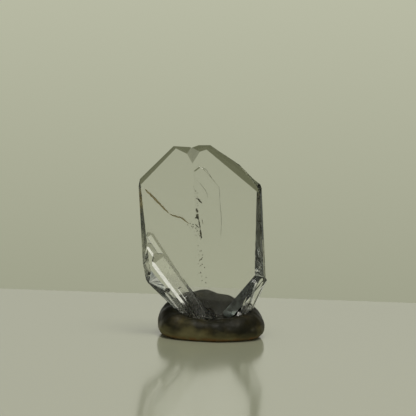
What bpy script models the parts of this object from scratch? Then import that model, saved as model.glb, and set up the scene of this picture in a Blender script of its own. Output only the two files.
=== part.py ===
"""A Japan-law twin of quartz, standing in the lump of mounting putty that holds it up.

Two flat quartz crystals have grown into one plate, a thin wedge. Their long axes lean 42.28 degrees to
either side of the upright plane where they meet. Each facet of the plate's edge is set by a direction from
its crystal's long axis, a turn away from the broad face, and a reach. Small quartz prisms grow from the foot
of the plate. The putty is one soft lump pressed round that foot.
"""

from math import atan, cos, pi, radians, sin, tan

import bmesh
import bpy
from mathutils import Matrix, Vector

MM = 0.001

# Quartz's own angles. In the plate, a direction is counted from the long axis, c.
AXIS_FROM_TWIN_PLANE = radians(42.28)
SIDE_RHOMB_FROM_AXIS = radians(47.72)
PRISM_FROM_AXIS = radians(90.0)
# How far each face turns away from the plate's broad face.
END_RHOMB_TURN = radians(38.21)
SIDE_RHOMB_TURN = radians(66.86)
PRISM_TURN = radians(60.0)
RHOMB_FROM_AXIS_3D = radians(51.79)

# The plate is a wedge: its front is one plane, and its back leans away from it downward and to the right.
FRONT_FACE = 0.95 * MM
THICKNESS_AT_NOTCH = 0.60 * MM
THICKENS_DOWNWARD = radians(5.1)
THICKENS_RIGHTWARD = radians(2.9)
# How fast the notch's valley climbs in the twin plane for each step towards the back.
VALLEY_CLIMB = 4.3
BROKEN_FOOT_BELOW_NOTCH = 19.8 * MM
WELD = 0.0001 * MM
ROUGH_BLOCK = 80 * MM


def valley_turn(degrees_from_axis):
    """The turn that lets a notch face meet its partner exactly in the twin plane."""
    return atan(1 / (VALLEY_CLIMB * cos(AXIS_FROM_TWIN_PLANE + radians(degrees_from_axis))))


# The plate's edges, facet by facet: direction from c, turn, and how far from the notch the facet's plane
# crosses the front face. Where a front facet meets a back one they make the edge's crest.
LEFT_FRONT = (
    (radians(0.9), END_RHOMB_TURN, 2.80 * MM),
    (SIDE_RHOMB_FROM_AXIS, SIDE_RHOMB_TURN, 6.79 * MM),
    (radians(55.3), SIDE_RHOMB_TURN, 8.33 * MM),
    (PRISM_FROM_AXIS, PRISM_TURN, 14.40 * MM),
    (radians(-72.0), radians(25.5), 0.78 * MM),
    (radians(-106.3), valley_turn(-106.3), 0.0),
)
LEFT_BACK = (
    (radians(-48.8), radians(80.0), 2.05 * MM),
    (SIDE_RHOMB_FROM_AXIS, PRISM_TURN, 6.84 * MM),
    (radians(55.3), PRISM_TURN, 8.40 * MM),
    (radians(76.9), radians(42.0), 13.25 * MM),
    (PRISM_FROM_AXIS, PRISM_TURN, 14.80 * MM),
)
RIGHT_FRONT = (
    (radians(1.1), END_RHOMB_TURN, 2.46 * MM),
    (radians(48.3), SIDE_RHOMB_TURN, 8.25 * MM),
    (PRISM_FROM_AXIS, PRISM_TURN, 16.10 * MM),
    (radians(-56.5), radians(31.0), 1.14 * MM),
    (radians(-97.4), valley_turn(-97.4), 0.0),
)
RIGHT_BACK = (
    (radians(-39.2), radians(80.0), 2.30 * MM),
    (radians(-9.6), END_RHOMB_TURN, 3.70 * MM),
    (radians(7.7), END_RHOMB_TURN, 5.14 * MM),
    (radians(48.3), radians(54.0), 8.82 * MM),
    (PRISM_FROM_AXIS, PRISM_TURN, 16.45 * MM),
)

# Growth plateaus on the right crystal's front: height, the angle by which they thin out downward, then each
# side's outward direction (counted from upright), reach and slope.
PLATEAU_ROOT = 0.3 * MM
PLATEAU_FOOT_BELOW_NOTCH = 15.8 * MM
STEP_SLOPE = radians(52.0)
FADING_SLOPE = radians(24.0)
OUTER_STEPS = (
    (radians(24.0), -0.09 * MM, STEP_SLOPE),
    (radians(53.0), 0.64 * MM, STEP_SLOPE),
    (radians(90.0), 3.16 * MM, STEP_SLOPE),
    (radians(-90.0), -0.10 * MM, FADING_SLOPE),
    (radians(-35.0), -0.83 * MM, FADING_SLOPE),
)
INNER_STEPS = (
    (radians(56.0), -0.74 * MM, STEP_SLOPE),
    (radians(90.0), 1.64 * MM, STEP_SLOPE),
    (radians(-90.0), -0.20 * MM, FADING_SLOPE),
)
PLATEAUS = ((0.080 * MM, radians(0.45), OUTER_STEPS), (0.130 * MM, radians(1.0), INNER_STEPS))

# Small prisms at the foot, in millimetres and degrees and in the plate's frame: tip, lean from upright (left
# is negative), turn about its own axis, width, depth, length, and how unequal its end faces are.
SMALL_PRISMS = (
    ("long_left", (-5.40, -1.45, -10.90), -33.0, 8.0, 1.88, 1.50, 10.2, 0.35),
    ("upper_left", (-6.00, -1.05, -8.26), -29.5, -12.0, 0.85, 0.75, 6.5, 0.55),
    ("side_left", (-6.10, -1.10, -9.63), -31.0, 16.0, 0.80, 0.75, 3.2, 0.30),
    ("low_left", (-4.14, -1.45, -15.35), -35.0, -6.0, 0.95, 0.95, 4.9, 0.45),
    ("low_middle", (-2.76, -1.85, -14.91), -30.0, 14.0, 0.80, 0.85, 4.6, 0.30),
    ("foot_left", (-2.02, -1.95, -16.12), -28.0, 24.0, 0.70, 0.75, 3.3, 0.25),
    ("stub_front", (1.17, -1.55, -18.30), 12.0, 20.0, 1.45, 1.05, 1.7, 0.30),
    ("crumb", (4.62, -1.35, -18.90), -15.0, 18.0, 0.80, 0.70, 1.0, 0.30),
    ("right_outer", (8.23, -0.20, -14.85), 28.6, 12.0, 0.90, 1.10, 5.0, 0.50),
    ("right_inner", (6.99, -1.00, -14.93), 21.0, -10.0, 0.80, 0.80, 4.6, 0.60),
    ("right_low", (6.25, -1.10, -17.74), 34.0, 24.0, 0.90, 0.85, 2.2, 0.35),
)

# How the plate stands: notch over the putty's middle, and its turns in degrees.
NOTCH_PLACE = Vector((-2.90 * MM, 0.0, 21.75 * MM))
LEAN_LEFT = radians(5.0)
LEAN_BACK = radians(0.5)
TURN_LEFT_FORWARD = radians(2.0)

# The putty: half width and half depth of its outline, and its height at the front, the back and the ends.
PUTTY_HALF_WIDTH = 6.62 * MM
PUTTY_HALF_DEPTH = 4.75 * MM
PUTTY_FRONT_HEIGHT = 3.05 * MM
PUTTY_BACK_HEIGHT = 4.75 * MM
PUTTY_END_HEIGHT = 3.40 * MM
PUTTY_MIDDLE_LEVEL = 2.9 * MM
PUTTY_GAP = 0.3 * MM
POCKET_TOP_BELOW_NOTCH = 15.5 * MM
PUTTY_ROUNDNESS = 2.5
PUTTY_SPOKES = 72
# Waves in the outline: how many go round, how deep each is as a share, and where it starts.
PUTTY_WAVES = ((3, 0.020, 0.6), (5, 0.014, 2.1))
# The same for the rim's height, with the depth as a length.
RIM_WAVE = (4, 0.12 * MM, 1.0)

QUARTZ_LOOK = ("clear_quartz", (0.78, 0.79, 0.74, 1.0), 0.03)
PUTTY_LOOK = ("display_putty", (0.065, 0.060, 0.038, 1.0), 0.45)


def clear_scene():
    """Removes whatever the file holds."""
    for obj in list(bpy.data.objects):
        bpy.data.objects.remove(obj)


def material(name, colour, roughness):
    """A plain material with the piece's colour."""
    made = bpy.data.materials.new(name)
    made.use_nodes = True
    shader = made.node_tree.nodes["Principled BSDF"]
    shader.inputs["Base Color"].default_value = colour
    shader.inputs["Roughness"].default_value = roughness
    made.diffuse_color = colour
    return made


def object_from(name, mesh_work, look=None):
    """Turns bmesh work into an object. Without a look it is a helper that shapes another object."""
    mesh = bpy.data.meshes.new(name)
    mesh_work.to_mesh(mesh)
    mesh_work.free()
    obj = bpy.data.objects.new(name, mesh)
    bpy.context.scene.collection.objects.link(obj)
    if look:
        mesh.materials.append(look)
    else:
        obj.hide_render = True
        obj.display_type = "WIRE"
    return obj


def convex_solid(faces):
    """The solid inside a set of faces, each an outward normal and its distance from the origin."""
    work = bmesh.new()
    bmesh.ops.create_cube(work, size=ROUGH_BLOCK)
    for normal, distance in faces:
        cut = bmesh.ops.bisect_plane(
            work,
            geom=[*work.verts, *work.edges, *work.faces],
            plane_co=normal.normalized() * distance,
            plane_no=normal,
            clear_outer=True,
            dist=WELD,
        )
        edges = [part for part in cut["geom_cut"] if isinstance(part, bmesh.types.BMEdge)]
        if edges:
            bmesh.ops.contextual_create(work, geom=edges)
    bmesh.ops.recalc_face_normals(work, faces=work.faces)
    return work


def in_plate(side, from_axis):
    """A direction in the plate, counted from that side's c axis away from the twin plane."""
    angle = AXIS_FROM_TWIN_PLANE + from_axis
    return Vector((side * sin(angle), 0.0, cos(angle)))


def edge_facets(side, facing, facets):
    """The facets of one edge: facing is -1 for those that look to the front and 1 for the back ones."""
    broad = Vector((0.0, -FRONT_FACE, 0.0))
    made = []
    for from_axis, turn, reach in facets:
        outward = in_plate(side, from_axis)
        normal = outward * sin(turn) + Vector((0.0, facing * cos(turn), 0.0))
        made.append((normal, normal.dot(outward * reach + broad)))
    return made


def back_face():
    """The broad face behind, which leans away from the front one as the plate thickens."""
    normal = Vector((-tan(THICKENS_RIGHTWARD), 1.0, tan(THICKENS_DOWNWARD))).normalized()
    return normal, normal.y * (THICKNESS_AT_NOTCH - FRONT_FACE)


def plate_crystal(side, front, back, gap):
    """One of the two crystals. A gap moves every face out, which makes the room that the putty leaves."""
    faces = [(Vector((0.0, -1.0, 0.0)), FRONT_FACE), back_face()]
    faces.append((Vector((0.0, 0.0, -1.0)), BROKEN_FOOT_BELOW_NOTCH))
    faces += edge_facets(side, -1.0, front)
    faces += edge_facets(side, 1.0, back)
    faces = [(normal, distance + gap) for normal, distance in faces]
    return convex_solid([*faces, (Vector((-side, 0.0, 0.0)), 0.0)])


def twin_plate():
    """Both crystals in one: their cut faces in the twin plane are dropped and the rest is welded there."""
    joined = bmesh.new()
    for side, front, back in ((-1, LEFT_FRONT, LEFT_BACK), (1, RIGHT_FRONT, RIGHT_BACK)):
        half = plate_crystal(side, front, back, 0.0)
        for face in half.faces:
            if any(abs(vert.co.x) > WELD for vert in face.verts):
                joined.faces.new([joined.verts.new(vert.co) for vert in face.verts])
        half.free()
    bmesh.ops.remove_doubles(joined, verts=joined.verts, dist=WELD)
    bmesh.ops.dissolve_limit(joined, angle_limit=radians(0.01), verts=joined.verts, edges=joined.edges)
    bmesh.ops.triangulate(joined, faces=joined.faces)
    return joined


def plateau(height, thins_by, sides):
    """A low growth plateau on the right crystal's front, rooted a little way inside the plate."""
    run_out = Vector((0.0, -cos(thins_by), -sin(thins_by)))
    faces = [(run_out, run_out.dot(Vector((0.0, -FRONT_FACE - height, 0.0))))]
    faces.append((Vector((0.0, 1.0, 0.0)), PLATEAU_ROOT - FRONT_FACE))
    faces.append((Vector((0.0, 0.0, -1.0)), PLATEAU_FOOT_BELOW_NOTCH))
    for bearing, reach, slope in sides:
        outward = Vector((sin(bearing), 0.0, cos(bearing)))
        normal = outward * sin(slope) - Vector((0.0, cos(slope), 0.0))
        faces.append((normal, normal.dot(outward * reach - Vector((0.0, FRONT_FACE, 0.0)))))
    return convex_solid(faces)


def small_prism(tip, lean, spin, width, depth, length, uneven, gap):
    """A six-sided prism with the six faces of quartz's point, placed by its tip in the plate's frame."""
    faces = [(Vector((0.0, 0.0, -1.0)), length * MM)]
    half = (depth / 2 * MM, width / 2 * MM, width / 2 * MM)
    for turn in range(6):
        angle = -pi / 2 + turn * pi / 3
        flat = Vector((cos(angle), sin(angle), 0.0))
        faces.append((flat, half[turn % 3]))
        rise = uneven * width / 2 * MM * (turn % 2)
        point = flat * sin(RHOMB_FROM_AXIS_3D) + Vector((0.0, 0.0, cos(RHOMB_FROM_AXIS_3D)))
        faces.append((point, rise))
    work = convex_solid([(normal, distance + gap) for normal, distance in faces])
    stand = (
        Matrix.Translation(Vector(tip) * MM)
        @ Matrix.Rotation(radians(lean), 4, "Y")
        @ Matrix.Rotation(radians(spin), 4, "Z")
    )
    bmesh.ops.transform(work, matrix=stand, verts=work.verts)
    return work


def standing_place():
    """The matrix from the plate's frame to where it stands in the putty."""
    return (
        Matrix.Translation(NOTCH_PLACE)
        @ Matrix.Rotation(-LEAN_LEFT, 4, "Y")
        @ Matrix.Rotation(-LEAN_BACK, 4, "X")
        @ Matrix.Rotation(TURN_LEFT_FORWARD, 4, "Z")
    )


def add_boolean(target, tool, operation):
    """Joins a tool object to the target, or cuts it away."""
    modifier = target.modifiers.new(tool.name, "BOOLEAN")
    modifier.operation = operation
    modifier.solver = "EXACT"
    modifier.object = tool


def make_quartz(place, look):
    """The whole crystal: the twin plate, the plateaus and the small prisms, joined into one solid."""
    twin = object_from("quartz_twin", twin_plate(), look)
    tools = []
    for number, shape in enumerate(PLATEAUS):
        tools.append(object_from(f"plateau_{number}", plateau(*shape)))
    for name, *shape in SMALL_PRISMS:
        tools.append(object_from(name, small_prism(*shape, 0.0)))
    for obj in (twin, *tools):
        obj.data.transform(place)
    for tool in tools:
        add_boolean(twin, tool, "UNION")
    return twin


def putty_ring(angle):
    """The putty's outline radius and rim height at one bearing, 0 at the right and 90 degrees at the back."""
    corner = PUTTY_ROUNDNESS
    across = abs(cos(angle) / PUTTY_HALF_WIDTH) ** corner + abs(sin(angle) / PUTTY_HALF_DEPTH) ** corner
    wobble = 1 + sum(depth * sin(count * angle + start) for count, depth, start in PUTTY_WAVES)
    middle = (PUTTY_FRONT_HEIGHT + PUTTY_BACK_HEIGHT) / 2
    height = middle + sin(angle) * (PUTTY_BACK_HEIGHT - PUTTY_FRONT_HEIGHT) / 2
    height += (PUTTY_END_HEIGHT - middle) * cos(angle) ** 2
    count, depth, start = RIM_WAVE
    height += depth * sin(count * angle + start)
    return across ** (-1 / corner) * wobble, height


def pocket_shape():
    """The room that the crystal's foot pressed into the putty, one smooth hull with a thin gap all round."""
    shapes = [
        plate_crystal(-1, LEFT_FRONT, LEFT_BACK, PUTTY_GAP),
        plate_crystal(1, RIGHT_FRONT, RIGHT_BACK, PUTTY_GAP),
    ]
    shapes += [small_prism(*shape, PUTTY_GAP) for _, *shape in SMALL_PRISMS]
    hull = bmesh.new()
    for shape in shapes:
        bmesh.ops.bisect_plane(
            shape,
            geom=[*shape.verts, *shape.edges, *shape.faces],
            plane_co=Vector((0.0, 0.0, -POCKET_TOP_BELOW_NOTCH)),
            plane_no=Vector((0.0, 0.0, 1.0)),
            clear_outer=True,
        )
        for vert in shape.verts:
            hull.verts.new(vert.co)
        shape.free()
    made = bmesh.ops.convex_hull(hull, input=hull.verts)
    inside = {*made["geom_interior"], *made["geom_unused"]}
    spare = [part for part in inside if isinstance(part, bmesh.types.BMVert)]
    bmesh.ops.delete(hull, geom=spare, context="VERTS")
    bmesh.ops.recalc_face_normals(hull, faces=hull.faces)
    return hull


# The putty's section, as shares of its outline. The wall's heights are shares of the rim's own height. The
# pressed middle's are shares of the step from the middle up to the rim.
PUTTY_WALL = (
    (0.84, 0.0),
    (0.93, 0.06),
    (0.985, 0.20),
    (1.0, 0.40),
    (0.98, 0.60),
    (0.925, 0.79),
    (0.85, 0.92),
    (0.77, 0.985),
    (0.69, 1.0),
)
PUTTY_MIDDLE = (
    (0.61, 0.95),
    (0.53, 0.82),
    (0.44, 0.60),
    (0.34, 0.35),
    (0.22, 0.12),
    (0.10, 0.0),
)


def putty_levels(height):
    """Each ring's share of the outline and its level, from the foot up over the rim to the middle."""
    levels = [(share, height * rise) for share, rise in PUTTY_WALL]
    step = height - PUTTY_MIDDLE_LEVEL
    return levels + [(share, PUTTY_MIDDLE_LEVEL + step * rise) for share, rise in PUTTY_MIDDLE]


def make_putty(place, look):
    """The lump: rings of one section whose height and outline change round it, less the crystal's room."""
    work = bmesh.new()
    spokes = []
    for number in range(PUTTY_SPOKES):
        angle = 2 * pi * number / PUTTY_SPOKES
        radius, height = putty_ring(angle)
        flat = Vector((cos(angle), sin(angle), 0.0)) * radius
        points = [flat * share + Vector((0.0, 0.0, level)) for share, level in putty_levels(height)]
        spokes.append([work.verts.new(point) for point in points])
    for spoke, after in zip(spokes, spokes[1:] + spokes[:1]):
        for ring in range(len(spoke) - 1):
            work.faces.new((spoke[ring], after[ring], after[ring + 1], spoke[ring + 1]))
    work.faces.new([spoke[0] for spoke in reversed(spokes)])
    work.faces.new([spoke[-1] for spoke in spokes])
    bmesh.ops.recalc_face_normals(work, faces=work.faces)
    putty = object_from("putty_lump", work, look)
    pocket = object_from("pocket", pocket_shape())
    pocket.data.transform(place)
    add_boolean(putty, pocket, "DIFFERENCE")
    putty.data.shade_smooth()
    return putty


def centre_on_origin(objects):
    """Moves everything so that the middle of the whole object's foot is the origin."""
    bpy.context.view_layer.update()
    graph = bpy.context.evaluated_depsgraph_get()
    corners = []
    for obj in objects:
        corners += [Vector(corner) for corner in obj.evaluated_get(graph).bound_box]
    low = Vector([min(corner[axis] for corner in corners) for axis in range(3)])
    high = Vector([max(corner[axis] for corner in corners) for axis in range(3)])
    shift = Matrix.Translation(Vector((-(low.x + high.x) / 2, -(low.y + high.y) / 2, -low.z)))
    for obj in bpy.data.objects:
        obj.data.transform(shift)


def main():
    clear_scene()
    place = standing_place()
    quartz = make_quartz(place, material(*QUARTZ_LOOK))
    putty = make_putty(place, material(*PUTTY_LOOK))
    centre_on_origin([quartz, putty])


main()
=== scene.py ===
# %% [markdown]
# # A Japan-law twin of quartz in its lump of putty
#
# The object is a flat, clear quartz crystal made of two crystals that share one plate, held upright by a
# dark lump of display putty. Its looks come from three things: flat faces near true crystal directions, a
# clear stone that bends what stands behind it, and the stains and cracks inside it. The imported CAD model
# gives the shapes, and this file dresses them.

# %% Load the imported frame
from math import atan, atan2, cos, degrees, pi, radians, sin
from random import Random

import bmesh
import bpy
from mathutils import Matrix, Vector, noise


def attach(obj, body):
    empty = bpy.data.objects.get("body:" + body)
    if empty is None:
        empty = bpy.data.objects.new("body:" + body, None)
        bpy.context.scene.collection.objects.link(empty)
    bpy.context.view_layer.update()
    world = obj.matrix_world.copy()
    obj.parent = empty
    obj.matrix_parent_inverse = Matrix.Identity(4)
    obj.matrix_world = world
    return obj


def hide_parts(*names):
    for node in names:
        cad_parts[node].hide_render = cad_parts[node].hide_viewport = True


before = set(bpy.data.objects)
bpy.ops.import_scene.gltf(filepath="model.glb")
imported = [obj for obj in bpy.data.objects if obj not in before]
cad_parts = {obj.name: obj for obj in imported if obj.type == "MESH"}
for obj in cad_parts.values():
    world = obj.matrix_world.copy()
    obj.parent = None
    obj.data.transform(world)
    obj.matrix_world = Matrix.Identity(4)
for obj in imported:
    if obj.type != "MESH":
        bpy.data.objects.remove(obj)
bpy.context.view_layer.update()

MM = 0.001

# %% [markdown]
# ## Three small helpers
#
# Colours are written as the hex values that an eye or a colour picker reads, and Blender wants linear
# light, so one function turns them. Every node tree here is built in code, so one function adds a node,
# sets its values and links whatever is a socket. A third one turns mesh work into a finished piece with its
# material.

# %% Helpers
def linear(hex_colour):
    """Turns an sRGB hex value such as #a0b1c2 into Blender's linear colour."""
    shares = [int(hex_colour[at : at + 2], 16) / 255 for at in (1, 3, 5)]
    light = [share / 12.92 if share <= 0.04045 else ((share + 0.055) / 1.055) ** 2.4 for share in shares]
    return (*light, 1.0)


def add_node(tree, kind, inputs=None, **settings):
    """Adds a node. An input that is a socket is linked, and any other input is set as a value."""
    made = tree.nodes.new(kind)
    for name, value in settings.items():
        setattr(made, name, value)
    for name, value in (inputs or {}).items():
        if isinstance(value, bpy.types.NodeSocket):
            tree.links.new(value, made.inputs[name])
        else:
            made.inputs[name].default_value = value
    return made


def finished_piece(name, work, *looks, smooth=False):
    """Turns bmesh work into an object at the origin, with its place in its mesh."""
    mesh = bpy.data.meshes.new(name)
    work.to_mesh(mesh)
    work.free()
    for look in looks:
        mesh.materials.append(look)
    mesh.polygons.foreach_set("use_smooth", [smooth] * len(mesh.polygons))
    piece = bpy.data.objects.new(name, mesh)
    bpy.context.scene.collection.objects.link(piece)
    print(name, "has", len(mesh.polygons), "faces")
    return piece


# %% [markdown]
# ## The camera
#
# The photo looks a little down on the specimen with a long lens, so edges that are parallel on the crystal
# stay parallel in the picture. A long lens is a narrow angle of view from far away: here one metre. The
# picture also leans by two degrees, so the camera is rolled by as much.

# %% Camera
PICTURE_SIDE = 416
# At one metre's distance, one metre would span this many pixels.
PIXELS_PER_UNIT_SLOPE = 8060.0
LOOK_DOWN = radians(10.5)
CAMERA_ROLL = radians(2.0)
CAMERA_DISTANCE = 1.0
AIM_POINT = Vector((0.53, 0.0, 16.07)) * MM

camera_data = bpy.data.cameras.new("camera")
camera_data.angle = 2 * atan(PICTURE_SIDE / 2 / PIXELS_PER_UNIT_SLOPE)
camera = bpy.data.objects.new("camera", camera_data)
toward_camera = Vector((0.0, -cos(LOOK_DOWN), sin(LOOK_DOWN)))
level_turn = Matrix.Rotation(pi / 2 - LOOK_DOWN, 4, "X") @ Matrix.Rotation(CAMERA_ROLL, 4, "Z")
camera.matrix_world = Matrix.Translation(AIM_POINT + toward_camera * CAMERA_DISTANCE) @ level_turn
bpy.context.scene.collection.objects.link(camera)
bpy.context.scene.camera = camera
print("lens in mm:", round(camera_data.lens, 1))

# %% [markdown]
# ## Light for a clear crystal
#
# A clear crystal has no colour of its own: every face shows some part of the room, bent aside. The broad
# faces look straight through to the backdrop, so they are bright. The slanted edge faces look 20 to 45
# degrees down or aside, and they are dark only if the room is dark there. The side faces mirror the room's
# left and right. So a bright card stands behind the specimen and one before it, and the room between them
# is dim, a little lighter to the right. The room is drawn on the world, where a direction is all that
# matters.

# %% How often light may bend
scene = bpy.context.scene
scene.view_settings.view_transform = "Standard"
scene.cycles.max_bounces = 40
scene.cycles.transmission_bounces = 40
scene.cycles.glossy_bounces = 24
scene.cycles.volume_bounces = 2
print("a ray may bend or bounce", scene.cycles.max_bounces, "times")

# %% Directions on the world
# The card starts where the square of a level direction's y less the square of its x has the first value, and
# is whole from the second value on. The left and the right of the room blend over the last one, either way.
CARD_STARTS = 0.18
CARD_WHOLE = 0.62
SIDES_BLEND = 0.4

world = bpy.data.worlds.new("studio")
scene.world = world
world.use_nodes = True
sky = world.node_tree
sky.nodes.clear()
direction = add_node(sky, "ShaderNodeTexCoord").outputs["Generated"]
parts = add_node(sky, "ShaderNodeSeparateXYZ", {"Vector": direction}).outputs
flat = add_node(sky, "ShaderNodeCombineXYZ", {"X": parts["X"], "Y": parts["Y"], "Z": 0.0}).outputs["Vector"]
heading = add_node(sky, "ShaderNodeVectorMath", {"Vector": flat}, operation="NORMALIZE").outputs["Vector"]
squares = add_node(
    sky, "ShaderNodeVectorMath", {0: heading, 1: heading}, operation="MULTIPLY"
).outputs["Vector"]
square_parts = add_node(sky, "ShaderNodeSeparateXYZ", {"Vector": squares}).outputs
toward_card = add_node(
    sky, "ShaderNodeMath", {0: square_parts["Y"], 1: square_parts["X"]}, operation="SUBTRACT"
).outputs["Value"]
card_share = add_node(
    sky,
    "ShaderNodeMapRange",
    {"Value": toward_card, "From Min": CARD_STARTS, "From Max": CARD_WHOLE},
    interpolation_type="SMOOTHSTEP",
).outputs["Result"]
heading_parts = add_node(sky, "ShaderNodeSeparateXYZ", {"Vector": heading}).outputs
right_share = add_node(
    sky,
    "ShaderNodeMapRange",
    {"Value": heading_parts["X"], "From Min": -SIDES_BLEND, "From Max": SIDES_BLEND},
).outputs["Result"]
height = add_node(
    sky, "ShaderNodeMapRange", {"Value": parts["Z"], "From Min": -1.0, "From Max": 1.0}
).outputs["Result"]
print("nodes that find a direction:", len(sky.nodes))

# %% [markdown]
# ## The colours of the card and the room
#
# Each ramp runs from straight down at 0, over the horizon at 0.5, to straight up at 1. The card is palest
# just above the horizon. It has a step near 0.34: the broad faces look just over it, and the notch's faces
# under it, which makes them darker. Both sides of the room share a light band above the horizon, which the
# floor mirrors in a view from the side. The camera itself sees the card all round, so the backdrop stays
# plain.

# %% Colours by height
CARD_COLOURS = (
    (0.25, "#62644c"),
    (0.30, "#6a6c54"),
    (0.316, "#80826c"),
    (0.3365, "#7a7c66"),
    (0.3435, "#a8aa92"),
    (0.395, "#9d9f89"),
    (0.402, "#9d9f89"),
    (0.4225, "#b9bba5"),
    (0.50, "#dcdccc"),
    (0.57, "#ecece0"),
    (0.64, "#c4c4b6"),
    (0.74, "#70726a"),
    (0.88, "#6a6c62"),
    (0.94, "#9a9c92"),
)
BAND_AND_CEILING = (
    (0.53, "#b8b9ab"),
    (0.61, "#c0c1b2"),
    (0.68, "#4a4c48"),
    (0.88, "#4c4e4a"),
    (0.94, "#9a9c92"),
)
LEFT_COLOURS = ((0.20, "#3e4244"), (0.47, "#3c4042"), *BAND_AND_CEILING)
RIGHT_COLOURS = ((0.20, "#74765e"), (0.47, "#5c5e4e"), *BAND_AND_CEILING)


def with_stops(ramp, stops):
    """Gives a colour ramp its (place, hex colour) stops, which no input holds, and returns its colour."""
    elements = ramp.color_ramp.elements
    while len(elements) < len(stops):
        elements.new(0.5)
    for element, (place, hex_colour) in zip(elements, stops):
        element.position = place
        element.color = linear(hex_colour)
    return ramp.outputs["Color"]


card_colour = with_stops(add_node(sky, "ShaderNodeValToRGB", {"Fac": height}), CARD_COLOURS)
left_room = with_stops(add_node(sky, "ShaderNodeValToRGB", {"Fac": height}), LEFT_COLOURS)
right_room = with_stops(add_node(sky, "ShaderNodeValToRGB", {"Fac": height}), RIGHT_COLOURS)
# A Mix node has sockets for each kind of data. Inputs 6 and 7 and output 2 are the ones for colours.
room_colour = add_node(
    sky, "ShaderNodeMix", {0: right_share, 6: left_room, 7: right_room}, data_type="RGBA"
).outputs[2]
seen_direct = add_node(sky, "ShaderNodeLightPath").outputs["Is Camera Ray"]
card_part = add_node(
    sky, "ShaderNodeMath", {0: card_share, 1: seen_direct}, operation="MAXIMUM"
).outputs["Value"]
room = add_node(
    sky, "ShaderNodeMix", {0: card_part, 6: room_colour, 7: card_colour}, data_type="RGBA"
).outputs[2]
background = add_node(sky, "ShaderNodeBackground", {"Color": room, "Strength": 1.0})
add_node(sky, "ShaderNodeOutputWorld", {"Surface": background.outputs["Background"]})
print("nodes on the world:", len(sky.nodes))

# %% [markdown]
# ## A soft light overhead
#
# The dim room alone would leave the putty flat. One wide area light hangs above and a little in front of
# it, and gives its rim a highlight. A wide light near by has soft edges in every reflection, so it reads as
# a window or a softbox. Its sizes are in metres.

# %% Softbox
LAMP_WIDTH = 0.30
LAMP_LENGTH = 0.20
LAMP_WATTS = 0.9
LAMP_PLACE = (0.06, -0.10, 0.45)
LAMP_TILT = radians(-14.0)

lamp_data = bpy.data.lights.new("softbox", "AREA")
lamp_data.shape = "RECTANGLE"
lamp_data.size = LAMP_WIDTH
lamp_data.size_y = LAMP_LENGTH
lamp_data.energy = LAMP_WATTS
lamp_data.color = linear("#fffdf2")[:3]
lamp = bpy.data.objects.new("softbox", lamp_data)
lamp.matrix_world = Matrix.Translation(LAMP_PLACE) @ Matrix.Rotation(LAMP_TILT, 4, "X")
scene.collection.objects.link(lamp)
print("softbox height in metres:", LAMP_PLACE[2])

# %% [markdown]
# ## The floor
#
# A plain pale slab ends a short way behind the specimen, so the backdrop starts there. It is smooth enough
# to mirror the putty softly. Seen this flat, about half of what it shows is mirrored, so its own colour can
# be dull. It is a bevelled box, because nothing else of it shows.

# %% Floor slab
SLAB_LOW = Vector((-120.0, -120.0, -12.0)) * MM
SLAB_HIGH = Vector((120.0, 26.0, -0.02)) * MM
SLAB_BEVEL = 0.6 * MM

# Polished acrylic: an IOR of 1.49, and a mirror image that its fine wear blurs.
floor_look = bpy.data.materials.new("polished_acrylic_slab")
floor_look.use_nodes = True
floor_shader = floor_look.node_tree.nodes["Principled BSDF"]
floor_shader.inputs["Base Color"].default_value = linear("#b6b8a2")
floor_shader.inputs["Roughness"].default_value = 0.13
floor_shader.inputs["IOR"].default_value = 1.49
slab_work = bmesh.new()
bmesh.ops.create_cube(slab_work, size=1.0)
middle = (SLAB_LOW + SLAB_HIGH) / 2
for vert in slab_work.verts:
    sides = zip(middle, vert.co, SLAB_LOW, SLAB_HIGH)
    vert.co = Vector([centre + share * (high - low) for centre, share, low, high in sides])
bmesh.ops.bevel(slab_work, geom=slab_work.edges[:], offset=SLAB_BEVEL, segments=3, affect="EDGES")
floor = finished_piece("floor_slab", slab_work, floor_look)

# %% [markdown]
# ## The plate's own frame
#
# The twin leans a little in its putty, so its details are easier to place in a frame that leans with it.
# The origin of this frame is the bottom of the notch. From there x runs to the right in the plate, z runs
# up the plane where the two crystals meet, and a depth is counted from the front face into the crystal.

# %% The plate's frame
NOTCH = Vector((-1.62067, 0.09569, 21.75)) * MM
FRONT_FACE = 0.95 * MM
LEAN_ASIDE = radians(-5.0)
LEAN_BACK = radians(-0.5)
TURN = radians(2.0)

plate_place = (
    Matrix.Translation(NOTCH)
    @ Matrix.Rotation(LEAN_ASIDE, 4, "Y")
    @ Matrix.Rotation(LEAN_BACK, 4, "X")
    @ Matrix.Rotation(TURN, 4, "Z")
)
row_to_plate = plate_place.inverted()
# Flat work is drawn with x and y in the plate and z towards the viewer, and then stood up by this matrix.
flat_to_plate = Matrix(((1, 0, 0, 0), (0, 0, -1, -FRONT_FACE), (0, 1, 0, 0), (0, 0, 0, 1)))
stand_up = plate_place @ flat_to_plate
print("the plate leans", round(degrees(plate_place.to_quaternion().angle), 1), "degrees in all")

# %% [markdown]
# ## The quartz
#
# The CAD node holds the crystal as loose triangles. A copy is merged and its flat faces are joined again,
# so that each real crystal face is one face here too. It stays flat shaded: smooth shading would bend light
# where the real crystal has a plane.

# %% Quartz body
MERGE_WITHIN = 1e-7
SAME_PLANE = radians(0.1)


def crystal_copy(node):
    """The node's mesh as bmesh work, with doubles merged and flat faces joined."""
    work = bmesh.new()
    work.from_mesh(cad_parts[node].data)
    bmesh.ops.remove_doubles(work, verts=work.verts, dist=MERGE_WITHIN)
    bmesh.ops.dissolve_limit(work, angle_limit=SAME_PLANE, verts=work.verts, edges=work.edges)
    return work


def facet(face):
    """A face's bearing in the plate, in degrees from upright, and how far back it looks, from -1 to 1."""
    normal = row_to_plate.to_3x3() @ face.normal
    return degrees(atan2(normal.x, normal.z)), normal.y


quartz_work = crystal_copy("quartz_twin")
print("crystal faces:", len(quartz_work.faces))

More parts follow.
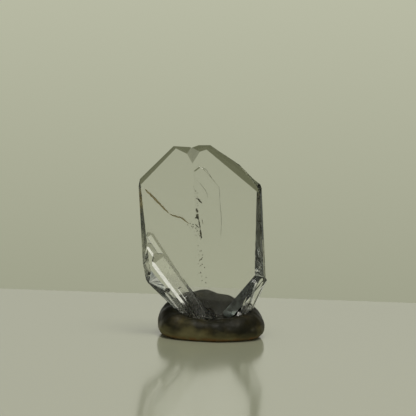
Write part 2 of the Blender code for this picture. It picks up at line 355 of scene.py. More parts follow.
# %% [markdown]
# ## Bitten and ribbed edges
#
# The right crystal's upper edge looks nibbled: its outline is a row of shallow bites. The narrow faces down
# both sides are ribbed, as quartz often is where growth stopped and started again. Both are real relief, so
# the edges are split and the new corners are moved less than a tenth of a millimetre inward. Light then
# breaks up in the strips as it does in the stone. Chance sets each depth, with a fixed seed.

# %% Relief on the edges
CREST_SPACING = 0.42 * MM
CREST_BITE = 0.085 * MM
RIB_SPACING = 0.30 * MM
RIB_BITE = 0.055 * MM


def split_edge(work, edge, spacing):
    """Splits an edge into even steps and returns the new corners."""
    steps = max(2, round(edge.calc_length() / spacing))
    corner = edge.verts[0]
    made = []
    for left in range(steps, 1, -1):
        _, corner = bmesh.utils.edge_split(edge, corner, 1 / left)
        made.append(corner)
    return made


def shared_by(work, one, other):
    """The edges where a face of one kind meets a face of another kind."""
    found = []
    for edge in work.edges:
        if len(edge.link_faces) == 2:
            kinds = [facet(face) for face in edge.link_faces]
            if (one(*kinds[0]) and other(*kinds[1])) or (one(*kinds[1]) and other(*kinds[0])):
                found.append(edge)
    return found


def bite(work, edges, spacing, deepest, draw):
    """Moves the corners of split edges into the crystal. A broad face stays flat, and the others may fold."""
    touched = set()
    for edge in edges:
        inward = -sum((face.normal for face in edge.link_faces), Vector())
        for face in edge.link_faces:
            if broad_back(*facet(face)):
                inward -= face.normal * inward.dot(face.normal)
        inward.normalize()
        for corner in split_edge(work, edge, spacing):
            corner.co += inward * deepest * draw.random() ** 2
            touched.update(face for face in corner.link_faces if not broad_back(*facet(face)))
    bmesh.ops.triangulate(work, faces=list(touched))


# %% Which face is which
# Each kind of face is known by its bearing in degrees and by how far back it looks.
def right_top_front(bearing, back):
    """The right crystal's top face, on the front."""
    return 25 < bearing < 60 and -0.9 < back < -0.1


def right_top_back(bearing, back):
    """The right crystal's top face, on the back."""
    return 25 < bearing < 60 and 0.1 < back < 0.9


def side_back(bearing, back):
    """A side strip, on the back of either side."""
    return 84 < abs(bearing) < 125 and 0.1 < back < 0.9


def lower_bevel(bearing, back):
    """A slanted face low down, where the plate narrows to its foot."""
    return 131 < abs(bearing) < 133.5 and abs(back) < 0.9


def broad_back(bearing, back):
    """The plate's broad back."""
    return back > 0.95


# %% Bites and ribs
LONG_EDGE = 2 * MM
draw = Random(11)
crest = shared_by(quartz_work, right_top_front, right_top_back)
bite(quartz_work, crest, CREST_SPACING, CREST_BITE, draw)
side_edges = shared_by(quartz_work, side_back, broad_back)
ribbed = [edge for edge in side_edges if edge.calc_length() > LONG_EDGE]
print("ribbed edges:", len(ribbed))
bite(quartz_work, ribbed, RIB_SPACING, RIB_BITE, draw)
quartz_work.normal_update()
print("crystal faces with relief:", len(quartz_work.faces))

# %% [markdown]
# ## One clear material with three finishes
#
# To the eye, rock crystal is a clear glass: index 1.544, no colour, and a faint warm loss over its length.
# Three finishes share it. The broad faces are mirror flat. The striated side faces are rough in spots, and
# a mottled grey tint on them is painted shade. The small crystals at the foot are full of fine veils, so
# they look frosted. A number on each face says how far it is striated and shaded or frosted, and the shader
# reads it, so the whole crystal stays one closed body of one material. The right side has the darkest
# painted shade. Total reflection takes no tint from a clear shader, so a mottled dark metallic share paints
# that shade there.

# %% Finishes and painted shade as face values
# Where the small crystals are, in the plate's frame and in millimetres. Those on the left stand out before
# the plate, below a height. Those on the right lie beyond an x, below a height, and are frosted less.
LEFT_GROUP_FRONT = -1.12
LEFT_GROUP_TOP = -7.6
RIGHT_GROUP_SIDE = 4.9
RIGHT_GROUP_TOP = -14.7
RIGHT_FROST = 0.6
# How strong the painted shade is on the right's low slanted face. The right side strip has 1.
DARKEST_PAINTED_SHADE = 1.3

striated_and_shaded = quartz_work.faces.layers.float.new("striated_and_shaded")
frosted = quartz_work.faces.layers.float.new("frosted")
painted_shade = quartz_work.faces.layers.float.new("painted_shade")
counts = {"striated_and_shaded": 0, "frosted": 0}
for face in quartz_work.faces:
    bearing, back = facet(face)
    middle = row_to_plate @ face.calc_center_median() / MM
    of_plate = lower_bevel(bearing, back) or broad_back(bearing, back)
    small_left = middle.y < LEFT_GROUP_FRONT and middle.z < LEFT_GROUP_TOP
    small_right = middle.x > RIGHT_GROUP_SIDE and middle.z < RIGHT_GROUP_TOP and not of_plate
    if small_left or small_right:
        face[frosted] = 1.0 if small_left else RIGHT_FROST
        counts["frosted"] += 1
    # Side strips and low slanted faces are striated and get painted shade, which is darker on the right.
    elif side_back(bearing, back) or lower_bevel(bearing, back):
        face[striated_and_shaded] = 1.0
        if bearing > 0:
            face[painted_shade] = DARKEST_PAINTED_SHADE if lower_bevel(bearing, back) else 1.0
        counts["striated_and_shaded"] += 1
print("faces by finish:", counts)


# %% A noise pattern with a real size
# Most of a noise's values lie in this range.
NOISE_RANGE = {"From Min": 0.35, "From Max": 0.65}


def object_noise(tree, size, detail, stretch=(1.0, 1.0, 1.0)):
    """A noise pattern on Object coordinates whose spots are about the given size in metres."""
    place = add_node(tree, "ShaderNodeTexCoord").outputs["Object"]
    turned = add_node(tree, "ShaderNodeMapping", {"Vector": place, "Scale": stretch}).outputs["Vector"]
    made = add_node(tree, "ShaderNodeTexNoise", {"Vector": turned, "Scale": 1 / size, "Detail": detail})
    return made.outputs["Fac"]


# %% Rock crystal: its roughness
FROST_SPOT = 0.45 * MM
MOTTLE_SPOT = 0.55 * MM

quartz_look = bpy.data.materials.new("clear_rock_crystal")
quartz_look.use_nodes = True
quartz_tree = quartz_look.node_tree
quartz_shader = quartz_tree.nodes["Principled BSDF"]
quartz_shader.inputs["IOR"].default_value = 1.544
quartz_shader.inputs["Transmission Weight"].default_value = 1.0
frost_share = add_node(quartz_tree, "ShaderNodeAttribute", attribute_name="frosted").outputs["Fac"]
rib_and_shade_share = add_node(quartz_tree, "ShaderNodeAttribute", attribute_name="striated_and_shaded").outputs["Fac"]
veiling = object_noise(quartz_tree, FROST_SPOT, 3.0)
mottle = object_noise(quartz_tree, MOTTLE_SPOT, 3.0, (1.0, 1.0, 0.6))
rough_parts = []
rough_finishes = ((frost_share, veiling, 0.02, 0.34), (rib_and_shade_share, mottle, 0.03, 0.16))
for share, pattern, smoothest, roughest in rough_finishes:
    spots = add_node(
        quartz_tree,
        "ShaderNodeMapRange",
        {"Value": pattern, **NOISE_RANGE, "To Min": smoothest, "To Max": roughest},
    ).outputs["Result"]
    rough_part = add_node(quartz_tree, "ShaderNodeMath", {0: share, 1: spots}, operation="MULTIPLY")
    rough_parts.append(rough_part.outputs["Value"])
roughness = add_node(quartz_tree, "ShaderNodeMath", dict(enumerate(rough_parts)), operation="ADD")
quartz_tree.links.new(roughness.outputs["Value"], quartz_shader.inputs["Roughness"])
print("nodes for the quartz:", len(quartz_tree.nodes))

# %% Rock crystal: its tint and painted shade
painted_shade_share = add_node(quartz_tree, "ShaderNodeAttribute", attribute_name="painted_shade").outputs["Fac"]
# A mottled metallic share paints dark shade on the right side strip and its low slanted face.
painted_shade_metallic = add_node(
    quartz_tree, "ShaderNodeMapRange", {"Value": mottle, **NOISE_RANGE, "To Min": 0.96, "To Max": 0.74}
).outputs["Result"]
metallic = add_node(quartz_tree, "ShaderNodeMath", {0: painted_shade_share, 1: painted_shade_metallic}, operation="MULTIPLY")
quartz_tree.links.new(metallic.outputs["Value"], quartz_shader.inputs["Metallic"])
# A mottled grey tint paints shade on the side strips, and a darker one on the right side.
tint = linear("#ffffff")
for share, dark, pale in ((rib_and_shade_share, "#7c8486", "#b4b8b0"), (painted_shade_share, "#2c3234", "#596062")):
    ramp = add_node(quartz_tree, "ShaderNodeValToRGB", {"Fac": mottle})
    spotted = with_stops(ramp, ((0.36, dark), (0.62, pale)))
    tint = add_node(
        quartz_tree, "ShaderNodeMix", {0: share, 6: tint, 7: spotted}, data_type="RGBA"
    ).outputs[2]
quartz_tree.links.new(tint, quartz_shader.inputs["Base Color"])
absorb = add_node(quartz_tree, "ShaderNodeVolumeAbsorption", {"Color": linear("#e4e6d2"), "Density": 40.0})
quartz_tree.links.new(absorb.outputs["Volume"], quartz_tree.nodes["Material Output"].inputs["Volume"])

quartz = finished_piece("quartz_crystal", quartz_work, quartz_look)
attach(quartz, "root")
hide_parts("quartz_twin")

# %% [markdown]
# ## Lines inside the stone
#
# A crack runs down the left crystal and is filled with brown stain, so it is a thin band that stands nearly
# edge-on to the viewer. Shorter dark bars sit in the plane where the twins meet. All of them follow a path,
# which is what Geometry Nodes do well: the tree turns a path into a curve, wanders it a little, and sweeps
# a thin upright section along it whose size swells and fades.

# %% A node tree for bands along a path
def geometry_tree(name, sizes):
    """An empty Geometry Nodes tree with named inputs: (label, socket type) pairs."""
    tree = bpy.data.node_groups.new(name, "GeometryNodeTree")
    tree.interface.new_socket("Geometry", in_out="INPUT", socket_type="NodeSocketGeometry")
    for label, kind in sizes:
        tree.interface.new_socket(label, in_out="INPUT", socket_type=kind)
    tree.interface.new_socket("Geometry", in_out="OUTPUT", socket_type="NodeSocketGeometry")
    return tree


def scatter_offset(tree, vector_size, seed):
    """A random shift within a box of the given half sizes."""
    low = add_node(
        tree, "ShaderNodeVectorMath", {0: vector_size, 1: (-1.0, -1.0, -1.0)}, operation="MULTIPLY"
    )
    made = add_node(
        tree,
        "FunctionNodeRandomValue",
        {0: low.outputs["Vector"], 1: vector_size, "Seed": seed},
        data_type="FLOAT_VECTOR",
    )
    return made.outputs[0]


band_tree = geometry_tree(
    "band_along_a_path",
    (
        ("Width", "NodeSocketFloat"),
        ("Depth ratio", "NodeSocketFloat"),
        ("Step", "NodeSocketFloat"),
        ("Wander", "NodeSocketVector"),
        ("Seed", "NodeSocketInt"),
        ("Look", "NodeSocketMaterial"),
    ),
)
given = add_node(band_tree, "NodeGroupInput").outputs
path = add_node(band_tree, "GeometryNodeMeshToCurve", {"Mesh": given["Geometry"]}).outputs["Curve"]
path = add_node(
    band_tree, "GeometryNodeResampleCurve", {"Curve": path, "Length": given["Step"]}, mode="LENGTH"
)
path = add_node(
    band_tree,
    "GeometryNodeSetPosition",
    {"Geometry": path.outputs["Curve"], "Offset": scatter_offset(band_tree, given["Wander"], given["Seed"])},
)
path = add_node(band_tree, "GeometryNodeSetCurveNormal", {"Curve": path.outputs["Geometry"]}, mode="Z_UP")
print("nodes for the wandering path:", len(band_tree.nodes))

# %% The band's width along its path
# The width is a half wave from end to end, raised to a low power so that it stays wide until near the ends.
# At each step chance swells it a little more or less.
FADE_POWER = 0.4
THINNEST_SWELL = 0.55

size = add_node(band_tree, "GeometryNodeSplineParameter").outputs["Factor"]
# A Random Value node also has sockets for each kind of data. Inputs 2 and 3 and output 1 are for numbers.
swell = add_node(band_tree, "FunctionNodeRandomValue", {2: THINNEST_SWELL, 3: 1.0, "Seed": given["Seed"]})
for operation, other in (
    ("MULTIPLY", pi),
    ("SINE", 0.0),
    ("POWER", FADE_POWER),
    ("MULTIPLY", swell.outputs[1]),
    ("MULTIPLY", given["Width"]),
):
    size = add_node(band_tree, "ShaderNodeMath", {0: size, 1: other}, operation=operation).outputs["Value"]
print("nodes for the path and its width:", len(band_tree.nodes))

# %% The swept band
section = add_node(
    band_tree, "GeometryNodeCurvePrimitiveQuadrilateral", {"Width": 1.0, "Height": given["Depth ratio"]}
)
swept = add_node(
    band_tree,
    "GeometryNodeCurveToMesh",
    {
        "Curve": path.outputs["Curve"],
        "Profile Curve": section.outputs["Curve"],
        "Scale": size,
        "Fill Caps": True,
    },
)
real = add_node(band_tree, "GeometryNodeRealizeInstances", {"Geometry": swept.outputs["Mesh"]})
dressed = add_node(
    band_tree, "GeometryNodeSetMaterial", {"Geometry": real.outputs["Geometry"], "Material": given["Look"]}
)
add_node(band_tree, "NodeGroupOutput", {"Geometry": dressed.outputs["Geometry"]})
print("nodes for a band:", len(band_tree.nodes))


# %% From a path to a finished piece
def path_mesh(points, name):
    """A mesh of edges only through points in millimetres, given as x, depth and height."""
    mesh = bpy.data.meshes.new(name)
    corners = [(x * MM, z * MM, -depth * MM) for x, depth, z in points]
    links = [(number, number + 1) for number in range(len(points) - 1)]
    mesh.from_pydata(corners, links, [])
    return mesh


def grown(name, points, tree, values):
    """Runs a Geometry Nodes tree on a path and returns its result as bmesh work, stood up in the plate."""
    holder = bpy.data.objects.new(name, path_mesh(points, name))
    bpy.context.scene.collection.objects.link(holder)
    modifier = holder.modifiers.new(name, "NODES")
    modifier.node_group = tree
    for socket in tree.interface.items_tree:
        if socket.in_out == "INPUT" and socket.name in values:
            modifier[socket.identifier] = values[socket.name]
    graph = bpy.context.evaluated_depsgraph_get()
    made = bpy.data.meshes.new_from_object(holder.evaluated_get(graph))
    work = bmesh.new()
    work.from_mesh(made)
    bpy.data.objects.remove(holder)
    bmesh.ops.transform(work, matrix=stand_up, verts=work.verts)
    bmesh.ops.recalc_face_normals(work, faces=work.faces)
    return work


def joined(works):
    """Several pieces of bmesh work as one."""
    whole = bmesh.new()
    for work in works:
        part = bpy.data.meshes.new("part")
        work.to_mesh(part)
        work.free()
        whole.from_mesh(part)
        bpy.data.meshes.remove(part)
    return whole


# %% [markdown]
# ## Stain, dirt and painted shade
#
# Three matte pieces show inside the stone: stain in the crack, dirt in the seam, and thin bands of
# painted shade along the growth lines. None of them is one flat colour, so each changes between a darker
# and a paler tone in spots of less than a millimetre. They get little light in there, so their colours are
# set paler than they look. One function makes all three, because they differ only in colours, spot size and
# roughness.

# %% Stain, inclusion and painted shade materials
def stain_and_shade_look(name, dark, light, spot, roughness):
    """A matte material, for stains and for painted shade, that changes between two colours in small spots."""
    made = bpy.data.materials.new(name)
    made.use_nodes = True
    tree = made.node_tree
    shader = tree.nodes["Principled BSDF"]
    shader.inputs["Roughness"].default_value = roughness
    ramp = add_node(tree, "ShaderNodeValToRGB", {"Fac": object_noise(tree, spot, 3.0)})
    tree.links.new(with_stops(ramp, ((0.35, dark), (0.65, light))), shader.inputs["Base Color"])
    print(name, "has spots of", round(spot / MM, 2), "mm")
    return made


# Limonite, the iron stain in the crack: an earthy ochre that reads brown inside the stone.
limonite_look = stain_and_shade_look("limonite_crack_stain", "#b4a468", "#d2c89c", 0.5 * MM, 0.75)
# Chlorite or clay in the seam: grey green specks that look dark against the bright plate.
seam_look = stain_and_shade_look("dark_seam_inclusion", "#4a4d3c", "#85815c", 0.25 * MM, 0.6)
# Painted shade along the growth lines: thin bands a little darker than the clear stone.
growth_shade_look = stain_and_shade_look("growth_line_painted_shade", "#6e705a", "#8a8c74", 0.6 * MM, 0.8)

# %% The crack
# Its path in millimetres, as x, depth and height. It is wider before its bend than after it.
CRACK_PATH = (
    (-6.07, 0.20, -2.87),
    (-5.32, 0.22, -3.70),
    (-4.50, 0.24, -4.69),
    (-3.64, 0.26, -5.68),
    (-3.21, 0.28, -6.18),
    (-2.45, 0.30, -6.54),
    (-1.69, 0.32, -6.81),
    (-1.28, 0.34, -7.19),
    (-0.80, 0.36, -7.65),
)
CRACK_STRETCHES = ((CRACK_PATH[:5], 0.32 * MM), (CRACK_PATH[4:], 0.21 * MM))
FLAT_WANDER = (0.035 * MM, 0.035 * MM, 0.0)
crack_works = []
for stretch, width in CRACK_STRETCHES:
    crack_values = {
        "Width": width,
        "Depth ratio": 1.6,
        "Step": 0.22 * MM,
        "Wander": FLAT_WANDER,
        "Seed": 5,
        "Look": limonite_look,
    }
    crack_works.append(grown("crack", stretch, band_tree, crack_values))
crack_work = joined(crack_works)
crack = finished_piece("iron_stained_crack", crack_work, limonite_look)
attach(crack, "root")

# %% [markdown]
# ## The seam between the twins
#
# The two crystals meet in an upright plane, and dirt caught in it shows as a broken chain of dark bars and
# specks. The larger bars are placed one by one. The specks are scattered by a second tree along the same
# chain, with a fixed seed, so they fall in the same places on every run. A texture could draw them too, but
# real grains shift against each other as the view turns, as they do in the stone.

# %% A node tree for specks along a path
speck_tree = geometry_tree(
    "specks_along_a_path",
    (
        ("Count", "NodeSocketInt"),
        ("Spread", "NodeSocketVector"),
        ("Smallest", "NodeSocketVector"),
        ("Largest", "NodeSocketVector"),
        ("Seed", "NodeSocketInt"),
        ("Look", "NodeSocketMaterial"),
    ),
)
given = add_node(speck_tree, "NodeGroupInput").outputs
path = add_node(speck_tree, "GeometryNodeMeshToCurve", {"Mesh": given["Geometry"]}).outputs["Curve"]
spots = add_node(
    speck_tree, "GeometryNodeCurveToPoints", {"Curve": path, "Count": given["Count"]}
).outputs["Points"]
spots = add_node(
    speck_tree,
    "GeometryNodeSetPosition",
    {"Geometry": spots, "Offset": scatter_offset(speck_tree, given["Spread"], given["Seed"])},
).outputs["Geometry"]
grain = add_node(speck_tree, "GeometryNodeMeshIcoSphere", {"Radius": 1.0, "Subdivisions": 1}).outputs["Mesh"]
turn = add_node(
    speck_tree,
    "FunctionNodeRandomValue",
    {0: (0.0, 0.0, 0.0), 1: (0.0, 0.0, 2 * pi), "Seed": given["Seed"]},
    data_type="FLOAT_VECTOR",
).outputs[0]
scale = add_node(
    speck_tree,
    "FunctionNodeRandomValue",
    {0: given["Smallest"], 1: given["Largest"], "Seed": given["Seed"]},
    data_type="FLOAT_VECTOR",
).outputs[0]
placed = add_node(
    speck_tree,
    "GeometryNodeInstanceOnPoints",
    {"Points": spots, "Instance": grain, "Rotation": turn, "Scale": scale},
).outputs["Instances"]
real = add_node(speck_tree, "GeometryNodeRealizeInstances", {"Geometry": placed}).outputs["Geometry"]
dressed = add_node(speck_tree, "GeometryNodeSetMaterial", {"Geometry": real, "Material": given["Look"]})
add_node(speck_tree, "NodeGroupOutput", {"Geometry": dressed.outputs["Geometry"]})
print("nodes for specks:", len(speck_tree.nodes))

# %% Bars in the seam
# Each bar: its width in millimetres and its path, as x, depth and height.
SEAM_BARS = (
    (0.24, ((0.36, 0.30, -4.42), (0.62, 0.32, -4.72), (0.95, 0.34, -5.12))),
    (0.34, ((0.20, 0.35, -5.70), (0.27, 0.37, -6.02), (0.33, 0.38, -6.28))),
    (0.36, ((0.34, 0.38, -6.34), (0.28, 0.40, -6.70), (0.36, 0.42, -7.16))),
    (0.20, ((-0.04, 0.40, -6.98), (0.16, 0.40, -6.76), (0.34, 0.42, -6.60))),
    (0.18, ((0.39, 0.42, -7.10), (0.46, 0.44, -7.70), (0.54, 0.46, -8.45))),
    (0.26, ((0.52, 0.48, -8.40), (0.58, 0.50, -9.00), (0.64, 0.52, -9.60))),
    (0.15, ((-0.10, 0.45, -7.66), (0.18, 0.46, -7.95), (0.42, 0.47, -8.20))),
    (0.09, ((0.86, 0.50, -7.10), (0.84, 0.50, -7.40), (0.88, 0.50, -7.75))),
    (0.10, ((0.69, 0.60, -11.86), (0.45, 0.62, -12.10), (0.16, 0.64, -12.44))),
    (0.11, ((0.30, 0.70, -13.72), (0.32, 0.70, -13.86), (0.33, 0.70, -14.02))),
)
FIRST_BAR_SEED = 20
bar_works = []
for number, (width, bar_path) in enumerate(SEAM_BARS):
    bar_values = {
        "Width": width * MM,
        "Depth ratio": 0.6,
        "Step": 0.09 * MM,
        "Wander": FLAT_WANDER,
        "Seed": FIRST_BAR_SEED + number,
        "Look": seam_look,
    }
    bar_works.append(grown("bar", bar_path, band_tree, bar_values))
print("bars:", len(bar_works))

# %% Specks in the seam
# Each chain: how many specks, how far they spread aside in millimetres, and its path.
SPECK_CHAINS = (
    (22, 0.22, ((0.15, 0.30, -2.95), (0.30, 0.32, -4.30), (0.30, 0.36, -5.90))),
    (34, 0.46, ((-0.90, 0.36, -7.70), (0.10, 0.42, -8.60), (0.40, 0.46, -9.60))),
    (26, 0.60, ((0.20, 0.55, -10.60), (0.10, 0.60, -12.60), (0.50, 0.70, -15.30))),
)
FIRST_SPECK_SEED = 40
for number, (count, spread, chain) in enumerate(SPECK_CHAINS):
    speck_values = {
        "Count": count,
        "Spread": (spread * MM, 0.30 * MM, 0.08 * MM),
        "Smallest": (0.012 * MM, 0.012 * MM, 0.006 * MM),
        "Largest": (0.110 * MM, 0.070 * MM, 0.020 * MM),
        "Seed": FIRST_SPECK_SEED + number,
        "Look": seam_look,
    }
    bar_works.append(grown("specks", chain, speck_tree, speck_values))
seam = finished_piece("seam_inclusions", joined(bar_works), seam_look)
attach(seam, "root")

# %% [markdown]
# ## Growth lines
#
# The right crystal shows the edge of an earlier stage of its growth, as a fine line like a nested outline.
# The low plateaus of the CAD model bend the light along it, and thin bands of painted shade make the line
# readable where the step is too gentle. A line drawn in the surface colour would not do, because clear
# crystal has none. So the painted shade is thin bands just under the front face, made by the same tree as
# the crack.

# %% Growth lines in painted shade
# Each band of painted shade: its width in millimetres and its path, as x, depth and height.
GROWTH_SHADE_PATHS = (
    (0.050, ((0.95, 0.16, -0.46), (1.58, 0.16, -0.75), (2.28, 0.16, -1.97), (3.18, 0.16, -3.24))),
    (0.036, ((3.18, 0.16, -3.24), (3.15, 0.16, -5.09), (3.25, 0.16, -6.99), (3.00, 0.16, -9.60))),
    (0.046, ((0.71, 0.14, -2.36), (1.20, 0.14, -3.10), (1.57, 0.14, -3.67), (1.69, 0.14, -4.55))),
)
FIRST_GROWTH_SHADE_SEED = 60
growth_shade_works = []
for number, (width, growth_shade_path) in enumerate(GROWTH_SHADE_PATHS):
    growth_shade_values = {
        "Width": width * MM,
        "Depth ratio": 1.0,
        "Step": 0.35 * MM,
        "Wander": (0.02 * MM, 0.02 * MM, 0.0),
        "Seed": FIRST_GROWTH_SHADE_SEED + number,
        "Look": growth_shade_look,
    }
    growth_shade_works.append(grown("growth_shade", growth_shade_path, band_tree, growth_shade_values))
# These thin dark bands are painted shade along the growth lines.
growth_shades = finished_piece("growth_line_painted_shades", joined(growth_shade_works), growth_shade_look)
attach(growth_shades, "root")

# %% [markdown]
# ## The putty
#
# The lump looks as if fingers had pressed it up round the crystal's foot. It is a thick ring with a higher
# back wall, a dent where each finger pressed, a fold at the lower right and two raised ends that hold the
# crystal's sides. It is built as a smooth skin: one section is carried round the lump, and each point is
# then pushed in or out by the dents near it.

# %% The putty's section
PUTTY_MIDDLE = Vector((1.27933, 0.09569, 0.0)) * MM
# From the edge of the flat underside, over the rim and down to the pressed middle. Each point has a share of
# the outline's radius and a share of the rim's height.
SECTION = (
    (0.84, 0.0),
    (0.93, 0.06),
    (0.985, 0.20),
    (1.0, 0.40),
    (0.98, 0.60),
    (0.925, 0.79),
    (0.85, 0.92),
    (0.77, 0.985),
    (0.69, 1.0),
    (0.62, 0.95),
    (0.54, 0.80),
    (0.46, 0.56),
    (0.38, 0.34),
    (0.26, 0.12),
    (0.12, 0.0),
)
STEPS_PER_SPAN = 3


def on_curve(t, a, b, c, d):
    """The value at a share t of the way from b to c, on a smooth curve through a, b, c and d."""
    return 0.5 * (2 * b + (c - a) * t + (2 * a - 5 * b + 4 * c - d) * t * t + (3 * b - a - 3 * c + d) * t**3)


def smooth_through(points, steps):
    """Points on a smooth curve through the given ones."""
    ends = [points[0], *points, points[-1]]
    made = []
    for spans in zip(ends, ends[1:], ends[2:], ends[3:]):
        for step in range(steps):
            t = step / steps
            made.append(tuple(on_curve(t, *values) for values in zip(*spans)))
    return [*made, points[-1]]


section = smooth_through(SECTION, STEPS_PER_SPAN)
print("points in the section:", len(section))

# %% The putty's outline and rim
# The outline is between an ellipse and a rectangle, with two slow waves: how many of each, how strong and
# from where.
HALF_WIDTH = 6.62
HALF_DEPTH = 4.75
SQUARENESS = 2.5
OUTLINE_WAVES = ((3, 0.020, 0.6), (5, 0.014, 2.1))
# The rim's height at a few bearings: 0 is right, 90 the back, 270 the front.
RIM_LEVELS = (
    (0, 3.35),
    (20, 3.80),
    (38, 4.15),
    (63, 4.60),
    (101, 5.10),
    (130, 4.70),
    (160, 4.05),
    (180, 3.60),
    (205, 3.00),
    (225, 2.55),
    (262, 2.40),
    (300, 2.50),
    (331, 2.90),
    (350, 3.20),
    (360, 3.35),
)
# The pressed middle lies at one level, and is lifted at one bearing, where the left crystals stand.
PRESSED_LEVEL = 2.15
PRESSED_LIFT = 1.05
LIFT_BEARING = 207
LIFT_SPREAD = 30
# Euler's number, to three places.
BELL_BASE = 2.718


def bell(ratio, sharpness=1):
    """1 at a ratio of 0 and falling smoothly. With a sharpness of 1 it is 0.37 at 1 and 0.02 at 2."""
    return BELL_BASE ** (-(ratio**2) * sharpness)


def near(angle, centre, width):
    """1 at the centre bearing and falling to 0 about two widths away, all in degrees."""
    away = (angle - centre + 180) % 360 - 180
    return bell(away / width)


def rim(angle):
    """The outline's radius, the rim's height and the pressed middle's height at a bearing."""
    turn = radians(angle)
    across = abs(cos(turn) / HALF_WIDTH) ** SQUARENESS + abs(sin(turn) / HALF_DEPTH) ** SQUARENESS
    waves = 1
    for number, strength, start in OUTLINE_WAVES:
        waves += strength * sin(number * turn + start)
    for (before, low), (after, high) in zip(RIM_LEVELS, RIM_LEVELS[1:]):
        if before <= angle <= after:
            share = (1 - cos(pi * (angle - before) / (after - before))) / 2
            level = low + (high - low) * share
    pressed = PRESSED_LEVEL + PRESSED_LIFT * near(angle, LIFT_BEARING, LIFT_SPREAD)
    return across ** (-1 / SQUARENESS) * waves, level, pressed


print("rim's height in front and behind:", rim(270)[1], rim(90)[1])

# %% The putty's skin
# The section is carried round in this many spokes. Inside the crest's share of the radius, heights are
# counted from the pressed middle, and its lift fades out towards the very centre.
SPOKES = 168
CREST_SHARE = 0.69
LIFT_FROM = 0.12
LIFT_OVER = 0.3

putty_work = bmesh.new()
spokes = []
for number in range(SPOKES):
    angle = 360 * number / SPOKES
    radius, level, pressed = rim(angle)
    spoke = []
    for share, rise in section:
        lifted = max(0.0, min(1.0, (share - LIFT_FROM) / LIFT_OVER))
        floor_level = PRESSED_LEVEL + (pressed - PRESSED_LEVEL) * lifted
        z = floor_level + (level - floor_level) * rise if share < CREST_SHARE else level * rise
        across, deep = cos(radians(angle)) * radius * share, sin(radians(angle)) * radius * share
        spoke.append(putty_work.verts.new(PUTTY_MIDDLE + Vector((across, deep, max(z, 0.0))) * MM))
    spokes.append(spoke)
for spoke, after in zip(spokes, spokes[1:] + spokes[:1]):
    for ring in range(len(spoke) - 1):
        putty_work.faces.new((spoke[ring], after[ring], after[ring + 1], spoke[ring + 1]))
putty_work.faces.new([spoke[0] for spoke in reversed(spokes)])
putty_work.faces.new([spoke[-1] for spoke in spokes])
bmesh.ops.recalc_face_normals(putty_work, faces=putty_work.faces)
print("putty skin points:", len(putty_work.verts))

# %% [markdown]
# ## Dents, the fold and the soft unevenness
#
# Each dent is a ball of influence: points within its reach move in along their own normal, most at its
# middle. The fold is the same along a line. A slow noise over everything takes away the look of a lathe.
# Sculpting by hand would do as well, but these few numbers give the same lump on every run.

# %% Putty relief
# Finger dents: x, y and z of the middle from the putty's middle, then reach and depth, in millimetres.
DENTS = (
    (-3.6, -4.2, 1.9, 1.7, 0.22),
    (-0.8, -4.8, 1.5, 1.9, 0.16),
    (2.4, -4.6, 2.2, 1.6, 0.20),
    (5.2, -3.0, 2.2, 1.3, 0.20),
    (-5.9, -1.6, 1.6, 1.5, 0.18),
    (-4.6, 3.4, 2.4, 1.6, 0.24),
    (0.8, 4.7, 2.6, 2.0, 0.22),
    (4.8, 3.3, 2.2, 1.6, 0.22),
)
FOLD = ((2.6, -4.7, 0.30), (3.6, -4.4, 0.75), (4.6, -3.9, 1.20), (5.4, -3.1, 1.65), (5.9, -2.3, 1.95))
FOLD_HALF_WIDTH = 0.24
FOLD_DEPTH = 0.36
DENT_SHARPNESS = 2
# A broad and a fine unevenness: how deep in millimetres, and how many waves in a millimetre.
BROAD_DEPTH, BROAD_WAVES = 0.10, 0.55
FINE_DEPTH, FINE_WAVES = 0.035, 1.9
BROAD_START = Vector((3.1, 0.4, 7.7))
# Every push fades out over this height above the flat underside.
FOOT_HEIGHT = 0.35


def line_distance(point, start, end):
    """How far a point is from the piece of line between two points."""
    span = end - start
    share = max(0.0, min(1.0, (point - start).dot(span) / span.length_squared))
    return (point - start - span * share).length


putty_work.normal_update()
shifts = []
for vert in putty_work.verts:
    spot = (vert.co - PUTTY_MIDDLE) / MM
    push = 0.0
    for x, y, z, reach, depth in DENTS:
        push -= depth * bell((spot - Vector((x, y, z))).length / reach, DENT_SHARPNESS)
    for start, end in zip(FOLD, FOLD[1:]):
        away = line_distance(spot, Vector(start), Vector(end))
        push -= FOLD_DEPTH / 2 * bell(away / FOLD_HALF_WIDTH)
    broad = BROAD_DEPTH * noise.noise(spot * BROAD_WAVES + BROAD_START)
    push += broad + FINE_DEPTH * noise.noise(spot * FINE_WAVES)
    push *= min(1.0, spot.z / FOOT_HEIGHT)
    shifts.append(vert.normal * push * MM)
for vert, shift in zip(putty_work.verts, shifts):
    vert.co += shift
print("deepest push in mm:", round(max(shift.length for shift in shifts) / MM, 2))

# %% [markdown]
# ## The putty's look
#
# Display putty is a soft mix of mineral powder in oil, wax or rubber. This lump is dark olive brown and
# satin. Painted shade makes it nearly black round its upper rim, and painted light from below makes it paler
# olive low down. Its foot has a thin line the colour of rust. The colour also changes in soft patches of a
# millimetre or two, and a much finer unevenness breaks the highlight. Height is read from Object
# coordinates, so the tones stay on the putty from every side.

# %% Satin putty: its tones, painted shade and painted light
# Each tone: its colour, the heights in millimetres between which its share changes, and the two shares.
# The dark rim is painted shade and the pale foot is painted light from below. The rust line is real colour.
PAINTED_SHADE_RIM = ("#15140a", (1.10, 2.40), (0.0, 0.75))
PAINTED_LIGHT_FOOT = ("#7d7652", (0.35, 1.90), (0.85, 0.0))
RUST_LINE = ("#7a4f28", (0.28, 0.62), (0.85, 0.0))
SHADE_BORDER_DRIFT = 0.75 * MM

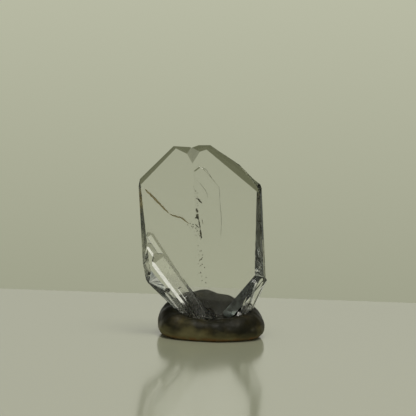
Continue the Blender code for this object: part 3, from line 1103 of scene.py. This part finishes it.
putty_look = bpy.data.materials.new("satin_display_putty")
putty_look.use_nodes = True
putty_tree = putty_look.node_tree
putty_shader = putty_tree.nodes["Principled BSDF"]
patches = add_node(putty_tree, "ShaderNodeValToRGB", {"Fac": object_noise(putty_tree, 1.6 * MM, 4.0)})
body = with_stops(patches, ((0.30, "#1d1c0d"), (0.50, "#302c17"), (0.72, "#554b2a")))
place = add_node(putty_tree, "ShaderNodeTexCoord").outputs["Object"]
level = add_node(putty_tree, "ShaderNodeSeparateXYZ", {"Vector": place}).outputs["Z"]
# The border between the painted shade at the rim and the painted light at the foot drifts up and down.
shade_border_noise = object_noise(putty_tree, 2.4 * MM, 3.0, (0.55, 0.55, 1.0))
shade_border_shift = add_node(
    putty_tree,
    "ShaderNodeMapRange",
    {"Value": shade_border_noise, **NOISE_RANGE, "To Min": -SHADE_BORDER_DRIFT, "To Max": SHADE_BORDER_DRIFT},
).outputs["Result"]
shade_border_level = add_node(putty_tree, "ShaderNodeMath", {0: level, 1: shade_border_shift}, operation="ADD").outputs["Value"]
rust_spots = add_node(
    putty_tree,
    "ShaderNodeMapRange",
    {"Value": object_noise(putty_tree, 0.8 * MM, 3.0), **NOISE_RANGE, "To Min": 0.2, "To Max": 1.0},
).outputs["Result"]
# The first two tones are painted shade and painted light, and the third is the putty's rust-coloured line.
tones = ((PAINTED_SHADE_RIM, shade_border_level, 1.0), (PAINTED_LIGHT_FOOT, shade_border_level, 1.0), (RUST_LINE, level, rust_spots))
for tone, source, spots in tones:
    hex_colour, (low, high), (low_share, high_share) = tone
    limits = {"From Min": low * MM, "From Max": high * MM, "To Min": low_share, "To Max": high_share}
    share = add_node(putty_tree, "ShaderNodeMapRange", {"Value": source, **limits}).outputs["Result"]
    share = add_node(putty_tree, "ShaderNodeMath", {0: share, 1: spots}, operation="MULTIPLY")
    body = add_node(
        putty_tree,
        "ShaderNodeMix",
        {0: share.outputs["Value"], 6: body, 7: linear(hex_colour)},
        data_type="RGBA",
    ).outputs[2]
putty_tree.links.new(body, putty_shader.inputs["Base Color"])
print("nodes for the putty's tones:", len(putty_tree.nodes))

# %% Satin putty: its sheen
putty_shader.inputs["Specular IOR Level"].default_value = 0.20
satin = add_node(
    putty_tree,
    "ShaderNodeMapRange",
    {"Value": object_noise(putty_tree, 0.9 * MM, 3.0), **NOISE_RANGE, "To Min": 0.36, "To Max": 0.62},
).outputs["Result"]
putty_tree.links.new(satin, putty_shader.inputs["Roughness"])
fine = add_node(
    putty_tree,
    "ShaderNodeBump",
    {"Height": object_noise(putty_tree, 0.35 * MM, 4.0), "Strength": 0.35, "Distance": 0.06 * MM},
)
putty_tree.links.new(fine.outputs["Normal"], putty_shader.inputs["Normal"])

putty = finished_piece("putty_lump_skin", putty_work, putty_look, smooth=True)
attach(putty, "root")
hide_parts("putty_lump")
